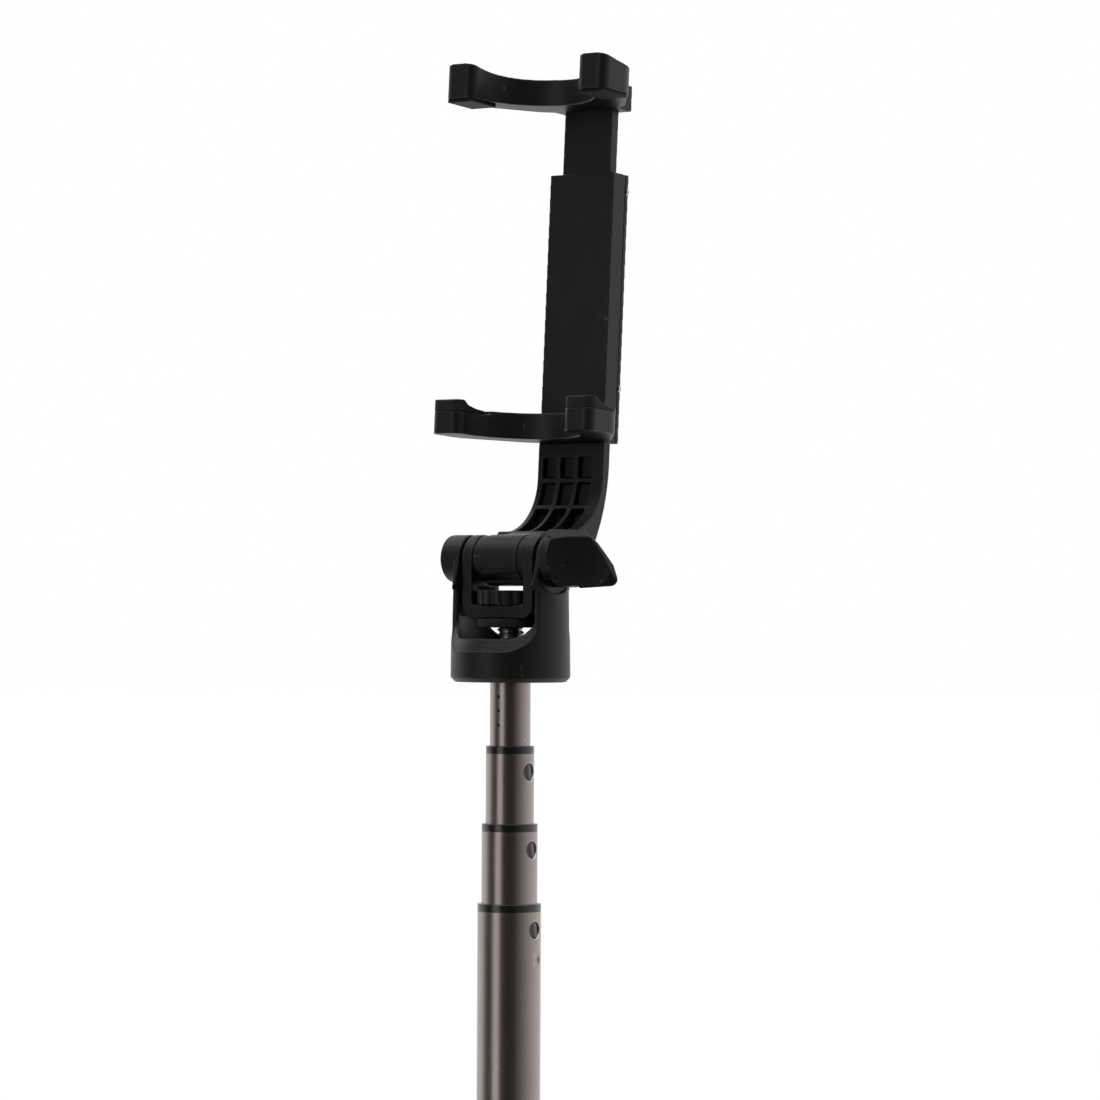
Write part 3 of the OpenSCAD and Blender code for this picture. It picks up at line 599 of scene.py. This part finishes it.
def make_dented_tube():
    """Tube 4 with the pressed dimple below its locking hole."""
    mesh = frame["nodes"]["tube_4"].data.copy()
    outer = tube_radius(4)
    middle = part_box("collar_4")[1].z / MM + END_GAP - DIMPLE_DROP
    bearing, half_width, half_height, depth = math.radians(6), 1.5, 1.45, 0.38
    cuts_up, cuts_round, margin, tight = 9, 8, 1.15, SAME_POINT * MM
    shape = bmesh.new()
    shape.from_mesh(mesh)
    bmesh.ops.remove_doubles(shape, verts=shape.verts, dist=tight)
    bmesh.ops.dissolve_limit(shape, angle_limit=0.002, verts=shape.verts, edges=shape.edges)
    for k in range(-cuts_up, cuts_up + 1):
        spot = Vector((0, 0, middle + half_height * margin * k / cuts_up)) * MM
        everything = shape.verts[:] + shape.edges[:] + shape.faces[:]
        bmesh.ops.bisect_plane(shape, geom=everything, dist=tight, plane_co=spot, plane_no=(0, 0, 1))
    reach = half_width * margin / outer
    for k in range(-cuts_round, cuts_round + 1):
        turn = bearing + reach * k / cuts_round
        near = [
            face for face in shape.faces
            if abs(face.calc_center_median().z / MM - middle) < half_height * margin
            and face.calc_center_median().x > 0
        ]
        geometry = list({part for face in near for part in [*face.verts, *face.edges, face]})
        across = (-math.sin(turn), math.cos(turn), 0)
        bmesh.ops.bisect_plane(shape, geom=geometry, dist=tight, plane_co=(0, 0, 0), plane_no=across)
    for vertex in shape.verts:
        x, y, z = vertex.co / MM
        if math.hypot(x, y) < outer - TUBE_WALL / 2 or x < 0:
            continue
        aside = (math.atan2(y, x) - bearing) * outer / half_width
        rise = (z - middle) / half_height
        share = max(0, 1 - aside ** 2) * max(0, 1 - abs(rise)) * (1.5 - 0.5 * rise)
        pull = depth * min(1, 1.7 * share) / math.hypot(x, y)
        vertex.co.x -= x * pull * MM
        vertex.co.y -= y * pull * MM
    shape.to_mesh(mesh)
    shape.free()
    for polygon in mesh.polygons:
        polygon.use_smooth = True
    piece = object_from("tube_4_dimpled", mesh)
    edge = piece.modifiers.new("edges", "EDGE_SPLIT")
    edge.split_angle = math.radians(35)
    piece.data = applied(piece)
    dress(piece, "tube_4")


# ---------------------------------------------------------------- threaded screw and coil spring

def circle(radius, z, around):
    """A level ring of points round the stick's axis."""
    return [(radius * math.cos(t), radius * math.sin(t), z) for t in
            (2 * math.pi * j / around for j in range(around))]


def thread_radius(height, z, share_round, depth=0.62, lead=0.7):
    """How far the thread stands from the axis at a height above the screw's tip and a share of a turn."""
    phase = (z / THREAD_PITCH - share_round) % 1
    groove = max(0, abs(phase * 2 - 1) * 1.3 - 0.3)
    lead_in = max(0, 1 - height / lead) * 0.55
    return min(THREAD_R - depth * (1 - groove), THREAD_R - lead_in)


def make_camera_screw():
    """The 1/4 inch screw: a 20-per-inch thread below the seat, a plain neck and the disc in the wheel."""
    low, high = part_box("camera_screw")
    around, steps = 48, 60
    tip, top, disc_r = low.z / MM, high.z / MM, high.x / MM
    tip_r, neck_r, disc_t, edge = 1.9, 2.6, 1.3, 0.15
    rows = [circle(0, tip, around), circle(tip_r, tip, around)]
    for k in range(steps + 1):
        z = tip - tip * k / steps
        row = []
        for j in range(around):
            t = 2 * math.pi * j / around
            radius = thread_radius(z - tip, z, j / around)
            row.append((radius * math.cos(t), radius * math.sin(t), z))
        rows.append(row)
    shoulder = top - disc_t
    upper = [
        (neck_r, 0.02), (neck_r, shoulder), (disc_r - edge, shoulder), (disc_r, shoulder + edge),
        (disc_r, top - edge), (disc_r - edge, top), (0, top),
    ]
    rows += [circle(radius, z, around) for radius, z in upper]
    screw = object_from("camera_screw_threaded", grid_mesh("camera_screw_threaded", rows))
    split = screw.modifiers.new("edges", "EDGE_SPLIT")
    split.split_angle = math.radians(50)
    screw.data = applied(screw)
    dress(screw, "camera_screw")


def make_clamp_spring():
    """The coil that pulls the upper jaw down, wound along the leaning rail."""
    low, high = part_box("clamp_spring")
    lean = math.radians(3.6)
    coil_r, wire_r, turns, per_turn, around = 1.2, 0.28, 22, 16, 8
    side_gap, end_gap = 0.02, 0.3
    start = Vector((0, low.y / MM + coil_r + wire_r + side_gap, low.z / MM + end_gap))
    along = Vector((0, math.sin(lean), math.cos(lean)))
    length = (high.z - low.z) / MM / math.cos(lean) - 0.8
    side, back = Vector((1, 0, 0)), Vector((0, math.cos(lean), -math.sin(lean)))
    last = turns * per_turn
    rows = []
    for k in [0, *range(last + 1), last]:
        t = 2 * math.pi * k / per_turn
        outward = side * math.cos(t) + back * math.sin(t)
        centre = start + along * (length * k / last) + outward * coil_r
        capped = len(rows) in (0, last + 2)
        rows.append([
            tuple(centre + (outward * math.cos(a) + along * math.sin(a)) * (0 if capped else wire_r))
            for a in (2 * math.pi * j / around for j in range(around))
        ])
    dress(object_from("clamp_spring_coil", grid_mesh("clamp_spring_coil", rows)), "clamp_spring")


make_camera()
make_world()
make_lights()
make_floor()
finish_plain_nodes()
make_moulded_parts()
for number in (2, 3, 4):
    make_collar(number)
make_tube_marks()
make_dented_tube()
make_camera_screw()
make_clamp_spring()

bpy.context.scene.view_settings.view_transform = "Standard"
